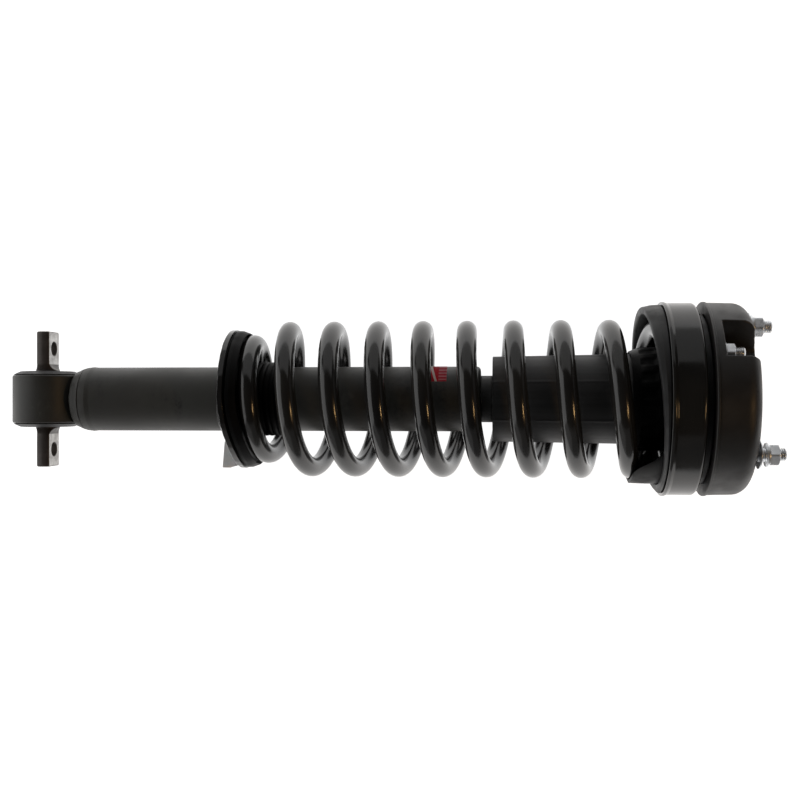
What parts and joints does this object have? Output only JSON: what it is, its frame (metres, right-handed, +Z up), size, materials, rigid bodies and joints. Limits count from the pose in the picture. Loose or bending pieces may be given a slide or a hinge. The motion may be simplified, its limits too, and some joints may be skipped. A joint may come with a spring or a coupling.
{
  "type": "strut assembly",
  "caption": "Coil-over suspension strut with a studded upper mount, coil spring between rubber-lined seats, telescopic damper, dust tube and a bushed bar pin below.",
  "frame": {"origin": "on the strut's axis, in the plane of the upper mount's seating face", "axes": "+X along the strut, from the bar pin to the mount studs; +Y along the bar pin; +Z up, as the strut lies on a bench"},
  "size_m": [0.6024, 0.1498, 0.1498],
  "materials": {
    "powder_coat": "gloss black powder coat",
    "tube_paint": "satin dark olive grey paint",
    "cast_paint": "matte black cast surface",
    "rubber": "matte black moulded rubber",
    "plastic": "satin black plastic",
    "zinc": "bright zinc plate",
    "machined_steel": "machined steel",
    "chrome_rod": "hard chrome",
    "bronze": "bronze",
    "foam": "closed-cell foam"
  },
  "bodies": {
    "upper_mount": {"coil_spring": "powder_coat", "piston_rod": "chrome_rod", "rebound_stop": "machined_steel", "rebound_bumper": "rubber", "compression_disc": "machined_steel", "piston": "machined_steel", "piston_band": "bronze", "rebound_disc": "machined_steel", "piston_nut": "machined_steel", "bumper_cup": "powder_coat", "jounce_bumper": "foam", "dust_tube": "plastic", "upper_spring_seat": "powder_coat", "upper_spring_isolator": "rubber", "mount_housing": "cast_paint", "mount_load_ring": "rubber", "mount_inner_sleeve": "machined_steel", "mount_bush": "rubber", "mount_washer": "zinc", "rod_nut": "zinc", "mount_stud_1": "zinc", "stud_washer_1": "zinc", "stud_nut_1": "zinc", "mount_stud_2": "zinc", "stud_washer_2": "zinc", "stud_nut_2": "zinc", "mount_stud_3": "zinc", "stud_washer_3": "zinc", "stud_nut_3": "zinc", "clamp_stud_1": "zinc", "clamp_nut_1": "zinc", "clamp_stud_2": "zinc", "clamp_nut_2": "zinc"},
    "strut_body": {"eye_ring": "tube_paint", "eye_bush": "rubber", "reservoir_tube": "tube_paint", "base_cap": "tube_paint", "pressure_tube": "machined_steel", "base_valve": "machined_steel", "base_valve_disc": "machined_steel", "rod_guide": "machined_steel", "rod_guide_bush": "bronze", "oil_seal": "rubber", "bump_cap": "plastic", "seat_hub": "powder_coat", "lower_spring_seat": "powder_coat", "seat_tab": "zinc", "lower_spring_isolator": "rubber"},
    "lower_bar": {"bar_pin": "machined_steel"}
  },
  "joints": [
    {"name": "strut_stroke", "type": "slide", "parent": "upper_mount", "child": "strut_body", "axis": [1, 0, 0], "range_m": [0, 0.12], "stiffness_N_per_m": 37000, "deforming": ["coil_spring", "jounce_bumper"]},
    {"name": "bar_pin_twist", "type": "hinge", "parent": "strut_body", "child": "lower_bar", "pos_m": [-0.5556, 0, 0], "axis": [0, 1, 0], "range_deg": [-15, 15], "stiffness_Nm_per_rad": 80}
  ]
}
